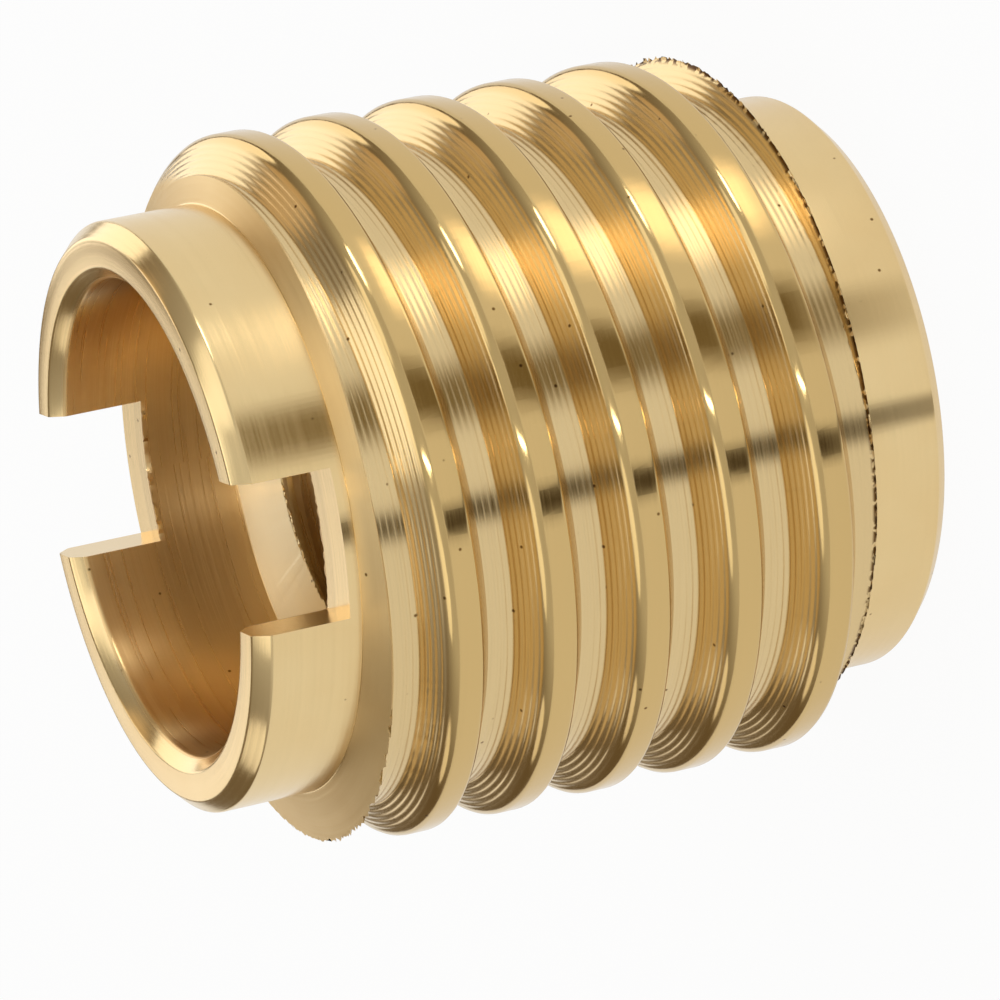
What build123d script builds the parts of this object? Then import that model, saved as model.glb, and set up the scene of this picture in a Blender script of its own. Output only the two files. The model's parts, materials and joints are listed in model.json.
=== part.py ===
# Screw-in threaded insert, turned from one brass bar.
#
# A coarse cutting thread runs between two plain collars. The rear collar is the pilot that
# enters the drilled hole, and the front collar carries a screwdriver slot across its end.
# A wide bore opens at the slotted end and steps down to the hole for the machine screw.
# The insert stands on its rear face: the origin is that face's centre, and +Z points along
# the axis to the slotted end. The slot runs along X. All lengths are in millimetres.
from build123d import *

from math import ceil, radians, tan
import os

# Overall sizes
insert_length = 12.4
collar_diameter = 9.9
front_collar_length = 1.8
rear_collar_length = 1.45
collar_chamfer = 0.25

# External thread: right-hand, a flat-bottomed groove that leaves a narrow flat crest
thread_diameter = 12.0
thread_pitch = 1.65
crest_width = 0.5
root_width = 0.45
flank_angle = 60
shoulder_angle = 22
thread_start_angle = -94

# Screwdriver slot
slot_width = 2.45
slot_depth = 1.6

# Wide front bore, with a floor that slopes down to the screw hole
front_bore_diameter = 8.0
front_bore_depth = 3.15
front_bore_chamfer = 0.2
bore_floor_drop = 0.3

# Screw hole, drilled for an M6 tap
screw_hole_diameter = 5.0
screw_hole_chamfer = 0.4

# How far a cutting shape runs past the surface that it leaves
cut_overrun = 0.2

# Worked-out sizes
collar_radius = collar_diameter / 2
thread_radius = thread_diameter / 2
front_bore_radius = front_bore_diameter / 2
screw_hole_radius = screw_hole_diameter / 2
front_shoulder_z = insert_length - front_collar_length
front_bore_floor_z = insert_length - front_bore_depth
thread_length = front_shoulder_z - rear_collar_length
flank_slope = tan(radians(flank_angle / 2))
shoulder_slope = tan(radians(shoulder_angle))
groove_mouth_width = thread_pitch - crest_width
groove_depth = (groove_mouth_width - root_width) / 2 / flank_slope


def turned_core():
    """The collars and the bored wall behind the thread, as one turned section."""
    section = Polyline(
        (screw_hole_radius + screw_hole_chamfer, 0),
        (collar_radius - collar_chamfer, 0),
        (collar_radius, collar_chamfer),
        (collar_radius, insert_length - collar_chamfer),
        (collar_radius - collar_chamfer, insert_length),
        (front_bore_radius + front_bore_chamfer, insert_length),
        (front_bore_radius, insert_length - front_bore_chamfer),
        (front_bore_radius, front_bore_floor_z),
        (screw_hole_radius, front_bore_floor_z - bore_floor_drop),
        (screw_hole_radius, screw_hole_chamfer),
        close=True,
    )
    return revolve(Plane.XZ * make_face(section), Axis.Z)


def groove_turns():
    """The helical cut: turns of one groove, stacked until they run out past both shoulders."""
    groove_bottom = thread_radius - groove_depth
    groove_top = thread_radius + cut_overrun
    half_root = root_width / 2
    half_top = half_root + (groove_top - groove_bottom) * flank_slope
    section = Polyline(
        (groove_bottom, -half_root),
        (groove_top, -half_top),
        (groove_top, half_top),
        (groove_bottom, half_root),
        close=True,
    )
    one_turn_path = Helix(thread_pitch, thread_pitch, thread_radius)
    one_turn = Rot(0, 0, thread_start_angle) * sweep(
        Plane.XZ * make_face(section), path=one_turn_path, is_frenet=True
    )
    first_turn_z = rear_collar_length - thread_pitch
    turn_count = ceil(thread_length / thread_pitch) + 2
    return [Pos(0, 0, first_turn_z + turn * thread_pitch) * one_turn for turn in range(turn_count)]


def threaded_sleeve():
    """The thicker middle of the bar, with the thread cut from end to end of it.

    Its shoulders lean in a little from the collars, and their lines run on into the core.
    """
    sleeve_inner_radius = (collar_radius + front_bore_radius) / 2
    inner_lean = (collar_radius - sleeve_inner_radius) * shoulder_slope
    outer_lean = (thread_radius - collar_radius) * shoulder_slope
    section = Polyline(
        (sleeve_inner_radius, rear_collar_length - inner_lean),
        (thread_radius, rear_collar_length + outer_lean),
        (thread_radius, front_shoulder_z - outer_lean),
        (sleeve_inner_radius, front_shoulder_z + inner_lean),
        close=True,
    )
    return revolve(Plane.XZ * make_face(section), Axis.Z) - groove_turns()


def screwdriver_slot():
    """The straight cut across the slotted end."""
    slot_floor_z = insert_length - slot_depth
    slot_box = Box(
        thread_diameter + 2 * cut_overrun,
        slot_width,
        slot_depth + cut_overrun,
        align=(Align.CENTER, Align.CENTER, Align.MIN),
    )
    return Pos(0, 0, slot_floor_z) * slot_box


insert_body = turned_core() + threaded_sleeve() - screwdriver_slot()
insert_body.label = "insert_body"

os.makedirs("parts", exist_ok=True)
export_step(insert_body, "parts/insert_body.step")
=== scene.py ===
import json
from functools import partial
from math import atan2, cos, degrees, hypot, pi, radians, sin, tan

import bpy
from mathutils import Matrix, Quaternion, Vector


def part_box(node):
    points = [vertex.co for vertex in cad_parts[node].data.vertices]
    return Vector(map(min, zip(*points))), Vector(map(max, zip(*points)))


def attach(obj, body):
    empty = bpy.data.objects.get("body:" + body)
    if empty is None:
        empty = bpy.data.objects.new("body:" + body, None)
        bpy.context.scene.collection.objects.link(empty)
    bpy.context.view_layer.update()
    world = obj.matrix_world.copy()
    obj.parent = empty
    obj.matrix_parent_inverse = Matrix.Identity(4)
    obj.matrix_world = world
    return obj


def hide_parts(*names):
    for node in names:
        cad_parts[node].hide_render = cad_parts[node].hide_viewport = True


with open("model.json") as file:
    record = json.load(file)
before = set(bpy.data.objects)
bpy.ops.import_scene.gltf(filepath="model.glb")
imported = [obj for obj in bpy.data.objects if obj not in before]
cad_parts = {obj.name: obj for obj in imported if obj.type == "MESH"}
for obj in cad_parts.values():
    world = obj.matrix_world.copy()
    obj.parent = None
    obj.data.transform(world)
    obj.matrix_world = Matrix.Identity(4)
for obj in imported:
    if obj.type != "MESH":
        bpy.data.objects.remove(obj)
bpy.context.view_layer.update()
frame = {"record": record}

# One millimetre, in metres
MM = 0.001

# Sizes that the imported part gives, in millimetres
mounts = {mount["name"]: mount for mount in frame["record"]["mounts"]}


def mount_size(mount, size):
    """A stated size of one of the part's mounts, in millimetres."""
    return mounts[mount]["dims"][size]


def mount_height(mount):
    """The height of a mount's middle above the rear face, in millimetres."""
    return mounts[mount]["pos_m"][2] / MM


insert_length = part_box("insert_body")[1].z / MM
thread_radius = mount_size("cutting_thread", "r_mm")
collar_radius = mount_size("pilot_collar", "r_mm")
front_bore_radius = mount_size("front_bore", "r_mm")
screw_hole_radius = mount_size("screw_hole", "r_mm")
rear_shoulder = mount_height("cutting_thread") - mount_size("cutting_thread", "length_mm") / 2
front_shoulder = mount_height("cutting_thread") + mount_size("cutting_thread", "length_mm") / 2
collar_chamfer = mount_height("pilot_collar") - mount_size("pilot_collar", "length_mm") / 2
front_bore_chamfer = insert_length - mount_height("front_bore") - mount_size("front_bore", "length_mm") / 2
front_bore_floor = mount_height("front_bore") - mount_size("front_bore", "length_mm") / 2
screw_hole_top = mount_height("screw_hole") + mount_size("screw_hole", "length_mm") / 2
screw_hole_chamfer = mount_height("screw_hole") - mount_size("screw_hole", "length_mm") / 2

# The rest of the form, the same as the part's, in millimetres and degrees
thread_pitch = 1.65
crest_width = 0.5
root_width = 0.45
flank_angle = 60
shoulder_angle = 22
thread_start_angle = -94
slot_width = 2.45
slot_depth = 1.6

# Fine form that only the looks need, in millimetres
edge_ease = 0.035
front_crest_ease = 0.14
rear_crest_ease = 0.08
crest_rise = 0.004
flank_line_depth = 0.005
flank_tool_lines = 5
root_line_depth = 0.004
root_tool_lines = 4
burr_reach = 0.045
burr_width = 0.12
tap_pitch = 1.0
tap_radius = 3.0
tap_crest_width = 0.125

# How far a cut runs past the surface that it leaves, and how close doubled points lie, in millimetres
cut_overrun = 0.05
slot_overrun = 0.2
merge_distance = 0.0005

# Turns that a helical cut needs beyond the length it crosses, to run out at both ends
spare_turns = 3

# Facets round the axis, and along the eased corners and each tool line
turned_steps = 360
groove_steps = 180
tap_steps = 120
ease_steps = 3
line_steps = 4

# Faces that meet at less than this many degrees are shaded as one
smooth_angle = 25

# Where a face is torn, in degrees round the axis: all the way, or on the front shoulder's low side
all_round = (-180, 180)
low_side = (-110, -30)

# Worked-out sizes
flank_slope = tan(radians(flank_angle / 2))
shoulder_slope = tan(radians(shoulder_angle))
groove_depth = (thread_pitch - crest_width - root_width) / 2 / flank_slope
root_radius = thread_radius - groove_depth
slot_floor = insert_length - slot_depth
floor_slope = (front_bore_floor - screw_hole_top) / (front_bore_radius - screw_hole_radius)


def on_curve(start, corner, end, share):
    """A point of the short curve that rounds a corner, from its start at share 0 to its end at 1."""
    return start * (1 - share) ** 2 + corner * 2 * share * (1 - share) + end * share ** 2


def eased(corners, ease):
    """A closed outline with each corner cut back by ease and replaced by a short curve."""
    outline = []
    for index, corner in enumerate(corners):
        corner = Vector(corner)
        before = Vector(corners[index - 1])
        after = Vector(corners[(index + 1) % len(corners)])
        start = corner + (before - corner).normalized() * ease
        end = corner + (after - corner).normalized() * ease
        for step in range(ease_steps + 1):
            outline.append(on_curve(start, corner, end, step / ease_steps))
    return [tuple(point) for point in outline]


def section_ring(name, points):
    """A closed ring of edges through the given points, ready to be spun or screwed round the axis."""
    bpy.ops.object.select_all(action="DESELECT")
    bpy.ops.mesh.primitive_circle_add(vertices=len(points))
    ring = bpy.context.object
    ring.name = name
    for vertex, point in zip(ring.data.vertices, points):
        vertex.co = point
    return ring


def turned(name, section):
    """A solid of revolution from its section, given as radius and height."""
    piece = section_ring(name, [(radius, 0, height) for radius, height in section])
    bpy.ops.object.mode_set(mode="EDIT")
    bpy.ops.mesh.select_all(action="SELECT")
    bpy.ops.mesh.spin(steps=turned_steps, angle=2 * pi, center=(0, 0, 0), axis=(0, 0, 1))
    bpy.ops.mesh.select_all(action="SELECT")
    bpy.ops.mesh.remove_doubles(threshold=merge_distance)
    bpy.ops.mesh.normals_make_consistent(inside=False)
    bpy.ops.object.mode_set(mode="OBJECT")
    return piece


def screwed(name, section, pitch, turns, steps, start_angle, start_height):
    """A solid helix from its section, given as radius and height, capped at both ends."""
    turn = radians(start_angle)
    piece = section_ring(name, [
        (radius * cos(turn), radius * sin(turn), start_height + height) for radius, height in section
    ])
    screw = piece.modifiers.new("screw", "SCREW")
    screw.axis = "Z"
    screw.angle = 2 * pi
    screw.screw_offset = pitch
    screw.iterations = turns
    screw.steps = steps
    screw.render_steps = steps
    bpy.ops.object.modifier_apply(modifier=screw.name)
    bpy.ops.object.mode_set(mode="EDIT")
    bpy.ops.mesh.select_all(action="SELECT")
    bpy.ops.mesh.fill_holes(sides=0)
    bpy.ops.mesh.select_all(action="SELECT")
    bpy.ops.mesh.normals_make_consistent(inside=False)
    bpy.ops.object.mode_set(mode="OBJECT")
    return piece


def combine(body, tool, operation):
    """Cuts the tool from the body, or joins it on, and takes the tool away."""
    bpy.ops.object.select_all(action="DESELECT")
    bpy.context.view_layer.objects.active = body
    cut = body.modifiers.new("cut", "BOOLEAN")
    cut.operation = operation
    cut.object = tool
    cut.solver = "MANIFOLD"
    bpy.ops.object.modifier_apply(modifier=cut.name)
    bpy.data.objects.remove(tool)


def turned_core():
    """The collars, the bored wall behind the thread and the screw hole."""
    corners = [
        (screw_hole_radius + screw_hole_chamfer, 0),
        (collar_radius - collar_chamfer, 0),
        (collar_radius, collar_chamfer),
        (collar_radius, insert_length - collar_chamfer),
        (collar_radius - collar_chamfer, insert_length),
        (front_bore_radius + front_bore_chamfer, insert_length),
        (front_bore_radius, insert_length - front_bore_chamfer),
        (front_bore_radius, slot_floor + burr_width),
        (front_bore_radius, slot_floor - burr_width),
        (front_bore_radius, front_bore_floor),
        (screw_hole_radius, screw_hole_top),
        (screw_hole_radius, screw_hole_chamfer),
    ]
    return turned("insert", eased(corners, edge_ease))


def threaded_sleeve():
    """The thick middle of the bar with leaning shoulders, and the helical groove cut along it."""
    inner_radius = (collar_radius + front_bore_radius) / 2
    inner_lean = (collar_radius - inner_radius) * shoulder_slope
    outer_lean = (thread_radius - collar_radius) * shoulder_slope
    sleeve = turned("sleeve", [
        (inner_radius, rear_shoulder - inner_lean),
        (collar_radius + burr_width, rear_shoulder + burr_width * shoulder_slope),
        (thread_radius, rear_shoulder + outer_lean),
        (thread_radius, front_shoulder - outer_lean),
        (inner_radius, front_shoulder + inner_lean),
    ])
    turns = int((front_shoulder - rear_shoulder) // thread_pitch) + spare_turns
    groove = screwed("groove", groove_section(), thread_pitch, turns, groove_steps,
                     thread_start_angle, rear_shoulder - thread_pitch)
    combine(sleeve, groove, "DIFFERENCE")
    return sleeve


def groove_flank(ease):
    """One flank of the groove: its top, and the curve from there over the crest and out of the bar."""
    corner_width = root_width / 2 + (groove_depth + crest_rise) * flank_slope
    corner = Vector((thread_radius + crest_rise, corner_width))
    flank_top = corner + Vector((-1, -flank_slope)).normalized() * ease
    crest_edge = corner + Vector((0, ease))
    curve = [
        on_curve(flank_top, corner, crest_edge, step / ease_steps) for step in range(1, ease_steps + 1)
    ]
    curve.append(crest_edge + Vector((cut_overrun, cut_overrun)))
    return flank_top, curve


def groove_section():
    """The groove's outline, with tool lines on the root and on the flank that faces the front."""
    root_end = Vector((root_radius, root_width / 2))
    front_top, front_curve = groove_flank(front_crest_ease)
    rear_top, rear_curve = groove_flank(rear_crest_ease)
    front_flank = []
    flank_steps = line_steps * flank_tool_lines
    for step in range(flank_steps + 1):
        point = root_end.lerp(front_top, step / flank_steps)
        front_flank.append((point.x, -point.y + flank_line_depth * sin(2 * pi * step / line_steps)))
    root_lines = []
    root_steps = line_steps * root_tool_lines
    for step in range(1, root_steps):
        radius = root_radius + root_line_depth * sin(2 * pi * step / line_steps)
        root_lines.append((radius, root_width * (step / root_steps - 1 / 2)))
    return [
        *[(point.x, -point.y) for point in reversed(front_curve)],
        *reversed(front_flank),
        *root_lines,
        tuple(root_end),
        tuple(rear_top),
        *[tuple(point) for point in rear_curve],
    ]


def screwdriver_slot():
    """The straight cut across the slotted end, as a block."""
    bpy.ops.object.select_all(action="DESELECT")
    height = slot_depth + slot_overrun
    bpy.ops.mesh.primitive_cube_add(
        size=1,
        location=(0, 0, slot_floor + height / 2),
        scale=(2 * (thread_radius + slot_overrun), slot_width, height),
    )
    block = bpy.context.object
    bpy.ops.object.transform_apply(location=True, scale=True)
    return block


def tapped_thread():
    """The machine screw's thread, as the helix that a tap cuts from the wall of the screw hole."""
    foot_radius = screw_hole_radius - 2 * cut_overrun
    foot_width = tap_crest_width + 2 * (tap_radius - foot_radius) * flank_slope
    section = [
        (foot_radius, -foot_width / 2),
        (tap_radius, -tap_crest_width / 2),
        (tap_radius, tap_crest_width / 2),
        (foot_radius, foot_width / 2),
    ]
    turns = int(screw_hole_top // tap_pitch) + spare_turns
    return screwed("tap", section, tap_pitch, turns, tap_steps, 0, -tap_pitch)


def tear(piece, surface, radii, angles, seed):
    """Makes a burr: pulls the edge points of a turned face in and out, along it and within the bar.

    The surface gives the face's height at a radius. Only points between the two radii and the two
    angles are pulled.
    """
    bpy.ops.object.select_all(action="DESELECT")
    bpy.context.view_layer.objects.active = piece
    bpy.ops.object.mode_set(mode="EDIT")
    bpy.ops.mesh.select_mode(type="VERT")
    bpy.ops.mesh.select_all(action="DESELECT")
    bpy.ops.object.mode_set(mode="OBJECT")
    for vertex in piece.data.vertices:
        radius = hypot(vertex.co.x, vertex.co.y)
        angle = degrees(atan2(vertex.co.y, vertex.co.x))
        on_face = abs(vertex.co.z - surface(radius)) < burr_reach / 2
        vertex.select = on_face and radii[0] < radius < radii[1] and angles[0] < angle < angles[1]
    places = [vertex.co.copy() for vertex in piece.data.vertices]
    bpy.ops.object.mode_set(mode="EDIT")
    bpy.ops.transform.vertex_random(offset=burr_reach, uniform=1.0, seed=seed)
    bpy.ops.object.mode_set(mode="OBJECT")
    for vertex, place in zip(piece.data.vertices, places):
        if vertex.select:
            old_radius = hypot(place.x, place.y)
            new_radius = min(thread_radius, hypot(vertex.co.x, vertex.co.y))
            vertex.co.xy = place.xy * (new_radius / old_radius)
            vertex.co.z = place.z + surface(new_radius) - surface(old_radius)


def rear_shoulder_face(radius):
    """The height of the shoulder above the rear collar."""
    return rear_shoulder + (radius - collar_radius) * shoulder_slope


def front_shoulder_face(radius):
    """The height of the shoulder below the front collar."""
    return front_shoulder - (radius - collar_radius) * shoulder_slope


def slot_face(radius):
    """The height of the slot's floor."""
    return slot_floor


def bore_face(radius):
    """The height of the sloping floor in the front bore."""
    return screw_hole_top + (radius - screw_hole_radius) * floor_slope


# Patterns of the brass, in millimetres. The rings drift by this much for each radian round the axis,
# so that a ring changes only slowly along its length.
ring_spacing = 0.06
ring_depth = 0.004
ring_drift = 0.04
patch_size = 1.5
pit_spacing = 0.6
# Size of the painted shade flecks along the torn rear edge
edge_shade_length = 0.12

# Where a tone starts and where it is full, in millimetres: inside the thread's shoulders, below the
# crest's radius, off the torn rear edge for its painted shade, and at the root's and the collar's radius
thread_fade = (0.01, 0.05)
crest_fade = (0.2, 0.05)
edge_shade_fade = (0.1, 0.03)
root_fade = 0.05
collar_fade = 0.03

# Levels of the patterns between which the rings, pits and painted shade flecks run from one state to the
# other
ring_levels = (0.3, 0.7)
pit_levels = (0.03, 0.06)
edge_shade_levels = (0.42, 0.5)

# Roughness of the lathe rings, and what each kind of face adds to it
ring_roughness = (0.16, 0.24)
crest_roughness = -0.06
shoulder_roughness = 0.3
bore_roughness = 0.1
bore_floor_roughness = 0.25

# How strongly the rings stand out, and what the bore adds to that
ring_relief = 0.35
bore_relief = 0.65

# How much of its own tone each kind of face takes: the thread's and the bore's darker tones are
# painted shade, the bore floor's paler one painted light
thread_shade_share = 0.8
crest_share = 0.7
bore_shade_share = 0.27
bore_floor_light_share = 0.9

# How much of the floor's look is plain white, to the eye and in the metal
seen_white = 0.94
mirrored_white = 0.7

# Shares of a card's width and length over which it fades
card_edge_fade = 0.4
card_near_fade = 0.35


def linear(hex_colour):
    """An sRGB hex colour as linear red, green, blue and alpha."""
    channels = [int(hex_colour[place:place + 2], 16) / 255 for place in (1, 3, 5)]
    return [c / 12.92 if c <= 0.04045 else ((c + 0.055) / 1.055) ** 2.4 for c in channels] + [1.0]


def new_material(name):
    """An empty node material."""
    material = bpy.data.materials.new(name)
    material.use_nodes = True
    material.node_tree.nodes.clear()
    return material


def add_node(material, kind, inputs=None, **settings):
    """Adds one node and gives its outputs.

    Each input is a plain value or the output that feeds it, and the settings are the node's own.
    """
    tree = material.node_tree
    made = tree.nodes.new("ShaderNode" + kind)
    for setting, value in settings.items():
        setattr(made, setting, value)
    for socket, value in (inputs or {}).items():
        if isinstance(value, bpy.types.NodeSocket):
            tree.links.new(value, made.inputs[socket])
        else:
            made.inputs[socket].default_value = value
    return made.outputs


def per_metre(spacing_mm):
    """A pattern scale that repeats at the given spacing, for coordinates in metres."""
    return 1 / (spacing_mm * MM)


def turned_brass():
    """Free-cutting brass, turned bright: pale yellow metal with fine rings left by the lathe tool.

    The thread is painted a deeper gold, as painted shade for its grooves. The drilled bore is duller
    and painted a deeper tone, as painted shade in the hollow, and its floor is painted paler, as
    painted light. Dark flecks along the thread's torn rear edge are painted shade, and there are a
    few dark pits. A Mix of colours has them on inputs 6 and 7, and gives its own on output 2.
    """
    material = new_material("turned_brass")
    node = partial(add_node, material)

    place = node("TexCoord")["Object"]
    parts = node("SeparateXYZ", {0: place})
    height = parts["Z"]
    flat = node("VectorMath", {0: place, 1: (1, 1, 0)}, operation="MULTIPLY")[0]
    radius = node("VectorMath", {0: flat}, operation="LENGTH")["Value"]
    angle = node("Math", {0: parts["Y"], 1: parts["X"]}, operation="ARCTAN2")[0]
    drift = node("Math", {0: angle, 1: ring_drift * MM}, operation="MULTIPLY")[0]
    ring_place = node("CombineXYZ", {0: radius, 1: height, 2: drift})[0]
    rings = node("TexNoise", {
        "Vector": ring_place, "Scale": per_metre(ring_spacing), "Detail": 2.0, "Roughness": 0.6,
    })["Fac"]
    # Handling leaves patches that are a little paler
    patches = node("TexNoise", {"Vector": place, "Scale": per_metre(patch_size), "Detail": 3.0})["Fac"]
    bare = node("Mix", {0: patches, 6: linear("#E6C78E"), 7: linear("#EDD4A0")}, data_type="RGBA")[2]

    # How far a point lies inside each leaning shoulder of the thread
    past_collar = node("Math", {0: radius, 1: collar_radius * MM}, operation="SUBTRACT")[0]
    lean = node("Math", {0: past_collar, 1: shoulder_slope}, operation="MULTIPLY")[0]
    front_face = node("Math", {0: front_shoulder * MM, 1: lean}, operation="SUBTRACT")[0]
    behind_front = node("Math", {0: front_face, 1: height}, operation="SUBTRACT")[0]
    over_rear = node("Math", {0: height, 1: rear_shoulder * MM}, operation="SUBTRACT")[0]
    ahead_of_rear = node("Math", {0: over_rear, 1: lean}, operation="SUBTRACT")[0]
    inside = node("Math", {0: behind_front, 1: ahead_of_rear}, operation="MINIMUM")[0]
    in_thread = node("MapRange", {0: inside, 1: thread_fade[0] * MM, 2: thread_fade[1] * MM},
                     interpolation_type="SMOOTHSTEP")[0]
    # Painted shade: a slightly darker gold over the whole thread, for the shade in its grooves
    thread_shade_part = node("Math", {0: in_thread, 1: thread_shade_share}, operation="MULTIPLY")[0]
    shaded_thread = node("Mix", {0: thread_shade_part, 6: bare, 7: linear("#DDC391")}, data_type="RGBA")[2]

    # The crests are a shade deeper than the flanks
    outermost = node("MapRange", {
        0: radius, 1: (thread_radius - crest_fade[0]) * MM, 2: (thread_radius - crest_fade[1]) * MM,
    }, interpolation_type="SMOOTHSTEP")[0]
    crest = node("Math", {0: outermost, 1: in_thread}, operation="MULTIPLY")[0]
    crest_part = node("Math", {0: crest, 1: crest_share}, operation="MULTIPLY")[0]
    crests = node("Mix", {0: crest_part, 6: shaded_thread, 7: linear("#CFAE6E")}, data_type="RGBA")[2]

    # The drilled bore is painted a deeper, darker tone, as painted shade in the hollow, and its sloping
    # floor a paler one, as painted light
    drilled = node("Math", {0: radius, 1: (front_bore_radius + edge_ease) * MM}, operation="LESS_THAN")[0]
    above_hole = node("Math", {0: height, 1: screw_hole_top * MM}, operation="GREATER_THAN")[0]
    below_bore = node("Math", {0: height, 1: front_bore_floor * MM}, operation="LESS_THAN")[0]
    in_bore = node("Math", {0: drilled, 1: above_hole}, operation="MULTIPLY")[0]
    on_floor = node("Math", {0: in_bore, 1: below_bore}, operation="MULTIPLY")[0]
    bore_shade_part = node("Math", {0: in_bore, 1: bore_shade_share}, operation="MULTIPLY")[0]
    shaded_bore = node("Mix", {0: bore_shade_part, 6: crests, 7: linear("#D69E54")}, data_type="RGBA")[2]
    # Painted light: the bore's sloping floor is painted a near-white cream
    floor_light_part = node("Math", {0: on_floor, 1: bore_floor_light_share}, operation="MULTIPLY")[0]
    lit_bore_floor = node("Mix", {0: floor_light_part, 6: shaded_bore, 7: linear("#FFEFCB")}, data_type="RGBA")[2]

    # Pits are up to 0.07 mm across: a few of the scattered points happen to lie in the surface
    pit_distance = node("TexVoronoi", {"Vector": place, "Scale": per_metre(pit_spacing)})["Distance"]
    pit = node("MapRange", {0: pit_distance, 1: pit_levels[0], 2: pit_levels[1], 3: 1.0, 4: 0.0})[0]
    pitted = node("Mix", {0: pit, 6: lit_bore_floor, 7: linear("#7A5A2C")}, data_type="RGBA")[2]

    # Painted shade: dark flecks along the thread's torn rear edge, for the shadowed gap where it meets the
    # collar
    edge_shade_noise = node("TexNoise", {"Vector": place, "Scale": per_metre(edge_shade_length), "Detail": 1.0})["Fac"]
    edge_shade_breaks = node("MapRange", {0: edge_shade_noise, 1: edge_shade_levels[0], 2: edge_shade_levels[1]})[0]
    off_edge = node("Math", {0: ahead_of_rear}, operation="ABSOLUTE")[0]
    by_edge = node("MapRange", {0: off_edge, 1: edge_shade_fade[0] * MM, 2: edge_shade_fade[1] * MM},
                   interpolation_type="SMOOTHSTEP")[0]
    on_rim = node("MapRange", {0: radius, 1: (root_radius - root_fade) * MM, 2: root_radius * MM},
                  interpolation_type="SMOOTHSTEP")[0]
    near_edge = node("Math", {0: by_edge, 1: on_rim}, operation="MULTIPLY")[0]
    edge_shade = node("Math", {0: near_edge, 1: edge_shade_breaks}, operation="MULTIPLY")[0]
    colour = node("Mix", {0: edge_shade, 6: pitted, 7: linear("#64451F")}, data_type="RGBA")[2]

    # Crests are rubbed smoother than the rings, and the shoulders and the bore are left duller
    bright = node("MapRange", {
        0: rings, 1: ring_levels[0], 2: ring_levels[1], 3: ring_roughness[0], 4: ring_roughness[1],
    })[0]
    rubbed = node("Math", {0: crest, 1: crest_roughness, 2: bright}, operation="MULTIPLY_ADD")[0]
    outside = node("MapRange", {0: radius, 1: collar_radius * MM, 2: (collar_radius + collar_fade) * MM},
                   interpolation_type="SMOOTHSTEP")[0]
    unthreaded = node("Math", {0: 1.0, 1: in_thread}, operation="SUBTRACT")[0]
    shoulder = node("Math", {0: unthreaded, 1: outside}, operation="MULTIPLY")[0]
    dulled = node("Math", {0: shoulder, 1: shoulder_roughness, 2: rubbed}, operation="MULTIPLY_ADD")[0]
    bore_dulled = node("Math", {0: drilled, 1: bore_roughness, 2: dulled}, operation="MULTIPLY_ADD")[0]
    roughness = node("Math", {0: on_floor, 1: bore_floor_roughness, 2: bore_dulled},
                     operation="MULTIPLY_ADD")[0]
    relief = node("Math", {0: drilled, 1: bore_relief, 2: ring_relief}, operation="MULTIPLY_ADD")[0]
    bump = node("Bump", {"Height": rings, "Strength": relief, "Distance": ring_depth * MM})[0]
    # The rings spread each gleam along the axis, so the gloss is stretched across them
    round_axis = node("Tangent", direction_type="RADIAL", axis="Z")[0]
    metal = node("BsdfPrincipled", {
        "Base Color": colour, "Metallic": 1.0, "Roughness": roughness, "Normal": bump,
        "Anisotropic": 0.75, "Anisotropic Rotation": 0.25, "Tangent": round_axis,
    })[0]
    node("OutputMaterial", {"Surface": metal})
    return material


def board_surface(material):
    """Matt white board, as a shader: white to the eye and in the metal, with a soft shadow."""
    node = partial(add_node, material)
    board = node("BsdfDiffuse", {"Color": linear("#E8E8E6")})[0]
    white = node("Emission", {"Color": linear("#FFFFFF"), "Strength": 1.0})[0]
    ray = node("LightPath")
    seen = node("Math", {0: ray["Is Camera Ray"], 1: seen_white}, operation="MULTIPLY")[0]
    share = node("Math", {0: ray["Is Glossy Ray"], 1: mirrored_white, 2: seen},
                 operation="MULTIPLY_ADD")[0]
    return node("MixShader", {0: share, 1: board, 2: white})[0]


def studio_floor():
    """The floor's board."""
    material = new_material("white_board")
    add_node(material, "OutputMaterial", {"Surface": board_surface(material)})
    return material


def glowing_band_card(name, tone, brightness, near_share):
    """Card with its own tone along its middle, which fades to the board's white at both edges.

    The card glows and is seen only in the metal, as a painted reflection. At the end near the insert,
    where the metal mirrors it from close by, it pales to a given share.
    """
    material = new_material(name)
    node = partial(add_node, material)
    parts = node("SeparateXYZ", {0: node("TexCoord")["UV"]})
    inside = node("Math", {0: parts["Y"], 1: 1 / 2}, operation="PINGPONG")[0]
    # The fade takes most of the card, so that the bands have no edges
    middle = node("MapRange", {0: inside, 1: 0.0, 2: card_edge_fade}, interpolation_type="SMOOTHSTEP")[0]
    strength = node("MapRange", {0: parts["X"], 1: 0.0, 2: card_near_fade, 3: near_share, 4: 1.0})[0]
    share = node("Math", {0: middle, 1: strength}, operation="MULTIPLY")[0]
    lit = node("Emission", {"Color": linear(tone), "Strength": brightness})[0]
    surface = node("MixShader", {0: share, 1: board_surface(material), 2: lit})[0]
    node("OutputMaterial", {"Surface": surface})
    return material


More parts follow.
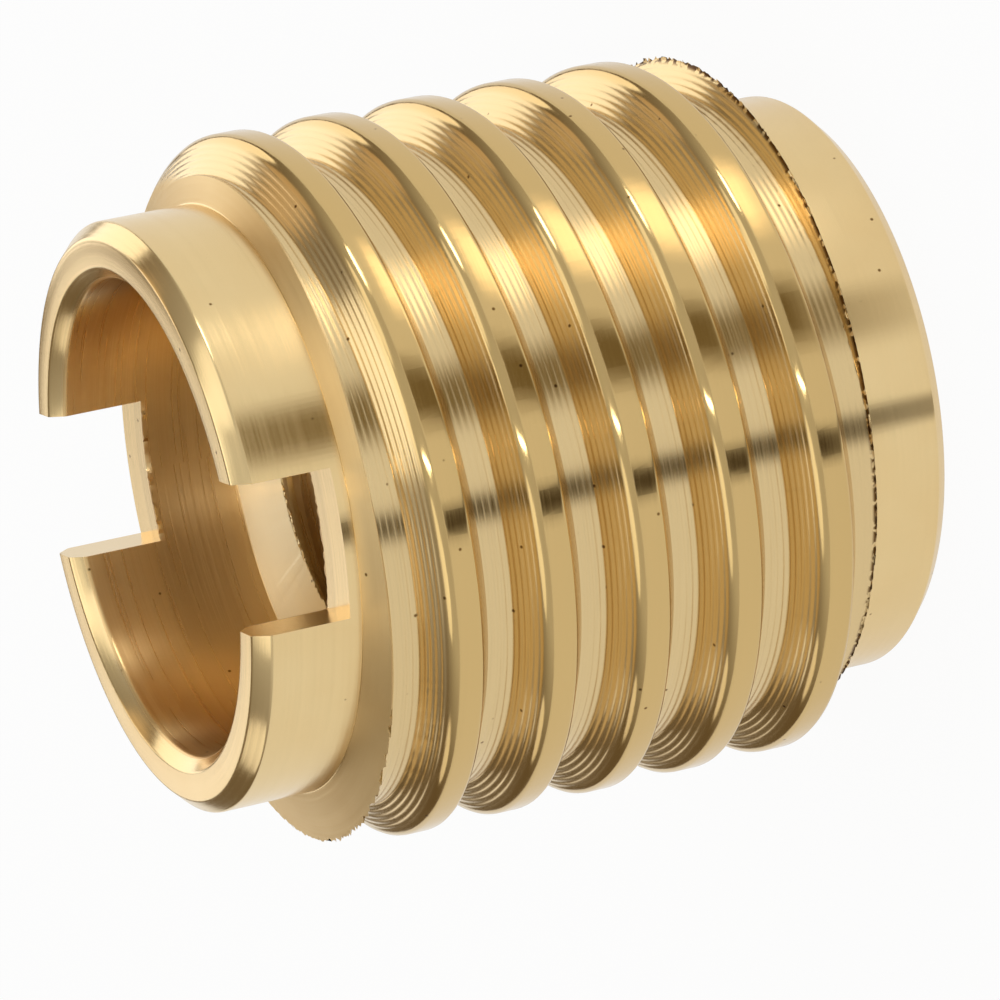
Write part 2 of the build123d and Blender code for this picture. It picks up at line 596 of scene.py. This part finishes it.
# The insert
insert = turned_core()
combine(insert, threaded_sleeve(), "UNION")
combine(insert, screwdriver_slot(), "DIFFERENCE")
combine(insert, tapped_thread(), "DIFFERENCE")
thread_edge = (root_radius - burr_reach, thread_radius + burr_reach)
bore_edge = (front_bore_radius - burr_reach, front_bore_radius + burr_reach)
hole_edge = (screw_hole_radius, tap_radius + burr_reach)
tear(insert, rear_shoulder_face, thread_edge, all_round, seed=1)
tear(insert, front_shoulder_face, thread_edge, low_side, seed=2)
tear(insert, slot_face, bore_edge, all_round, seed=3)
tear(insert, bore_face, hole_edge, all_round, seed=4)
insert.name = "turned_insert"
insert.scale = (MM,) * 3
bpy.ops.object.select_all(action="DESELECT")
insert.select_set(True)
bpy.context.view_layer.objects.active = insert
bpy.ops.object.transform_apply(location=True, rotation=True, scale=True)
bpy.ops.object.shade_smooth_by_angle(angle=radians(smooth_angle))
insert.data.materials.clear()
insert.data.materials.append(turned_brass())
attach(insert, "root")
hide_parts("insert_body")

# The floor, in metres
floor_size = 2.0
bpy.ops.object.select_all(action="DESELECT")
bpy.ops.mesh.primitive_plane_add(size=floor_size)
floor = bpy.context.object
floor.name = "floor"
floor.data.materials.append(studio_floor())

# The camera: it looks down at the standing insert and is rolled, so that the axis lies across the
# picture. Angles are in degrees, and lengths in millimetres.
camera_azimuth = 12.536
camera_elevation = 21.675
camera_roll = 102.109
camera_range = 103.64
camera_aim = (0.1914, -0.8803, 6.1292)
camera_lens = 222.56
sensor_width = 36
nearest_seen = 1
farthest_seen = 10000


def direction(azimuth, elevation):
    """The unit vector towards a place round the insert, in degrees."""
    turn, rise = radians(azimuth), radians(elevation)
    return Vector((cos(rise) * cos(turn), cos(rise) * sin(turn), sin(rise)))


towards_camera = direction(camera_azimuth, camera_elevation)
camera = bpy.data.objects.new("camera", bpy.data.cameras.new("camera"))
bpy.context.scene.collection.objects.link(camera)
camera.location = (Vector(camera_aim) + towards_camera * camera_range) * MM
camera.rotation_mode = "QUATERNION"
level_view = (-towards_camera).to_track_quat("-Z", "Y")
camera.rotation_quaternion = level_view @ Quaternion((0, 0, 1), radians(-camera_roll))
camera.data.lens = camera_lens
camera.data.sensor_width = sensor_width
camera.data.clip_start = nearest_seen * MM
camera.data.clip_end = farthest_seen * MM
bpy.context.scene.camera = camera

# Soft studio lamps: angle round the insert from the camera, height angle, distance, width and height
# in millimetres, watts and colour
lamps = {
    "top_panel": (146, 18, 200, 205, 100, 0.068, "#FFFFFF"),
    "warm_panel": (139, 43, 200, 110, 60, 0.008, "#FFE0B4"),
    "upper_shoulder_panel": (163, 39, 200, 60, 60, 0.0105, "#FFFFFF"),
    "zenith_panel": (110, 80, 200, 110, 110, 0.035, "#FFFFFF"),
    "back_panel": (190, 23, 200, 96, 96, 0.0225, "#FFFFFF"),
    "lower_panel": (-118, 30, 200, 80, 80, 0.013, "#FFFFFF"),
    "lower_rim_panel": (-55, 56, 200, 120, 120, 0.028, "#FFFFFF"),
    "upper_rim_panel": (62, 54, 200, 100, 100, 0.02, "#FFFFFF"),
    "lens_strip": (-4, 34, 130, 5, 100, 0.02, "#FFFFFF"),
    "upper_lamp": (62, 8, 150, 40, 40, 0.025, "#FFFFFF"),
}
lamp_aim = Vector((0, 0, insert_length / 2))
for name, (round_from_camera, height_angle, distance, width, height, watts, tone) in lamps.items():
    light = bpy.data.lights.new(name, "AREA")
    light.shape = "ELLIPSE"
    light.size = width * MM
    light.size_y = height * MM
    light.energy = watts
    light.color = linear(tone)[:3]
    lamp = bpy.data.objects.new(name, light)
    bpy.context.scene.collection.objects.link(lamp)
    away = direction(camera_azimuth + round_from_camera, height_angle)
    lamp.location = (lamp_aim + away * distance) * MM
    lamp.rotation_mode = "QUATERNION"
    lamp.rotation_quaternion = away.to_track_quat("Z", "Y")
    lamp.visible_camera = False

# Glowing cards just above the floor, out of sight and seen only in the metal, where they lie as dark
# and bright bands: a painted reflection. Each has the two angles on the metal, from the camera's side,
# that its band lies between, how near and far from the axis it reaches in millimetres, its tone and
# brightness, and the share of that tone at its near end.
card_lift = 0.02
card_rings = 40
cards = {
    "upper_shade_band_card": (2, 18, 4.9, 90, "#8F8060", 0.8, 0.2),
    "lower_shade_band_card": (-14, -6.5, 4.9, 90, "#5C5240", 0.8, 0.6),
    "white_glow_band_card": (21, 40, 8, 30, "#FFF4E6", 2.3, 0.0),
}
for name, (first_edge, last_edge, near, far, tone, brightness, near_share) in cards.items():
    bpy.ops.object.select_all(action="DESELECT")
    bpy.ops.mesh.primitive_grid_add(x_subdivisions=card_rings, y_subdivisions=2, size=1)
    card = bpy.context.object
    card.name = name
    for vertex in card.data.vertices:
        along, across = vertex.co.x + 1 / 2, vertex.co.y + 1 / 2
        reach = near * (far / near) ** along
        # A wall mirrors the floor at twice its own angle, and less where the floor is close to it
        turn = (first_edge + (last_edge - first_edge) * across) * (2 - collar_radius / reach)
        vertex.co = direction(camera_azimuth + turn, 0) * reach
        vertex.co.z = card_lift
        vertex.co *= MM
    card.data.materials.append(glowing_band_card(name, tone, brightness, near_share))
    card.visible_camera = False
    card.visible_diffuse = False
    card.visible_shadow = False

# The room: white to the eye, and for light a pale grey that turns to a warm dark one behind the
# insert. The turn lies between these levels, where -1 is straight behind and 1 is at the lens.
lens_levels = (-0.6, 0.4)
room = bpy.data.worlds.new("room")
bpy.context.scene.world = room
room.use_nodes = True
room.node_tree.nodes.clear()
room_node = partial(add_node, room)
room_place = room_node("TexCoord")["Generated"]
lens_side = room_node("VectorMath", {0: room_place, 1: direction(camera_azimuth, 0)},
                      operation="DOT_PRODUCT")["Value"]
lens_share = room_node("MapRange", {0: lens_side, 1: lens_levels[0], 2: lens_levels[1]})[0]
room_colour = room_node("Mix", {0: lens_share, 6: linear("#736550"), 7: linear("#D2D2D0")},
                        data_type="RGBA")[2]
room_light = room_node("Background", {"Color": room_colour, "Strength": 1.0})[0]
room_white = room_node("Background", {"Color": linear("#FFFFFF"), "Strength": 1.0})[0]
camera_ray = room_node("LightPath")["Is Camera Ray"]
room_mix = room_node("MixShader", {0: camera_ray, 1: room_light, 2: room_white})[0]
room_node("OutputWorld", {"Surface": room_mix})

bpy.context.scene.view_settings.view_transform = "Standard"
